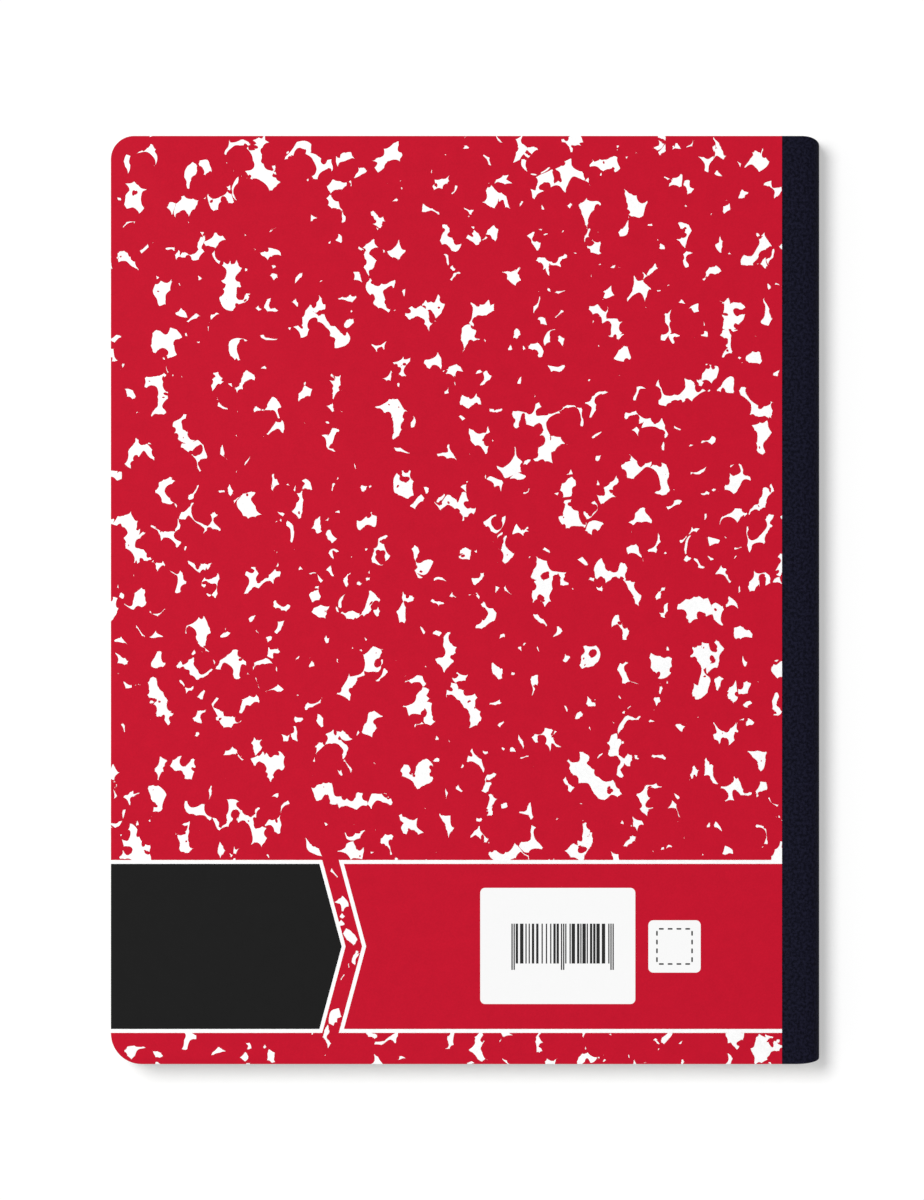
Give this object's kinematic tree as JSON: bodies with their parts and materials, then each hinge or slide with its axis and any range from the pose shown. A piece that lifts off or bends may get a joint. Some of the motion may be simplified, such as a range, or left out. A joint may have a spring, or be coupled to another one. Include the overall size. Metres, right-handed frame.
{
  "type": "composition notebook",
  "caption": "Sewn composition notebook with stiff marbled covers, a cloth tape spine and round fore-edge corners, closed and lying on its front cover.",
  "frame": {"origin": "middle of the bounding box's lowest face, which is the front cover's outer face that the book lies on", "axes": "+X from the fore edge to the spine, +Y from the tail to the head, +Z from the front cover up to the back cover"},
  "size_m": [0.189, 0.2476, 0.0114],
  "materials": {
    "page_paper": "uncoated white writing paper, faintly ruled in blue with a red margin",
    "printed_paper": "smooth coated cover paper printed in red and white marbling",
    "board": "grey chipboard",
    "endpaper": "plain uncoated off-white paper",
    "spine_cloth": "matt black book cloth with a fine weave",
    "sewing_thread": "undyed cotton thread"
  },
  "bodies": {
    "pages": {"page_block": "page_paper", "needle_thread": "sewing_thread", "bobbin_thread": "sewing_thread", "spine_tape": "spine_cloth"},
    "front_cover": {"front_board": "board", "front_cover_paper": "printed_paper", "front_endpaper": "endpaper"},
    "back_cover": {"back_board": "board", "back_cover_paper": "printed_paper", "back_endpaper": "endpaper"}
  },
  "joints": [
    {"name": "back_cover_hinge", "type": "hinge", "parent": "pages", "child": "back_cover", "pos_m": [0.08985, 0, 0.01135], "axis": [0, 1, 0], "range_deg": [0, 180], "deforming": ["spine_tape"]},
    {"name": "front_cover_hinge", "type": "hinge", "parent": "pages", "child": "front_cover", "pos_m": [0.08985, 0, 0.00009], "axis": [0, -1, 0], "range_deg": [0, 180], "deforming": ["spine_tape"]}
  ]
}
